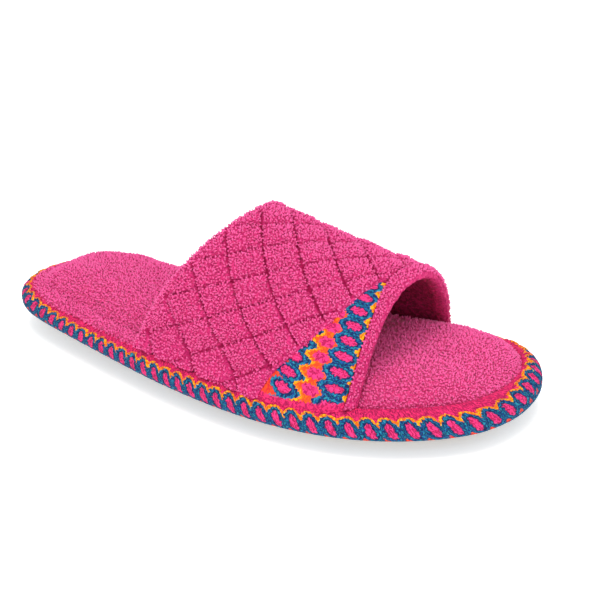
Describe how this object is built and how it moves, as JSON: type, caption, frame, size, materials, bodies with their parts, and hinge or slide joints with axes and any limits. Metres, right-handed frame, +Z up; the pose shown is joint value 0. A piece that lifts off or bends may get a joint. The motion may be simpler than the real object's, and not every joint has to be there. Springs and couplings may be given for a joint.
{
  "type": "scuff slipper",
  "caption": "Open-toe terry slide: quilted vamp with a knit corner insert, padded crowned footbed, patterned knit tape round the sole edge and a thin moulded outsole.",
  "frame": {"origin": "middle of the slipper's length and width, on the floor", "axes": "+X from heel to toe, +Y towards the medial side, +Z up"},
  "size_m": [0.262, 0.1066, 0.0768],
  "materials": {
    "outsole_rubber": "matte moulded",
    "knit_tape": "ribbed knit",
    "terry_footbed": "terry loops",
    "terry_upper": "quilted terry loops",
    "knit_tape_upper": "ribbed knit"
  },
  "bodies": {
    "root": {"outsole": "outsole_rubber", "binding": "knit_tape", "footbed": "terry_footbed", "upper": "terry_upper", "knit_insert": "knit_tape_upper"}
  },
  "joints": []
}
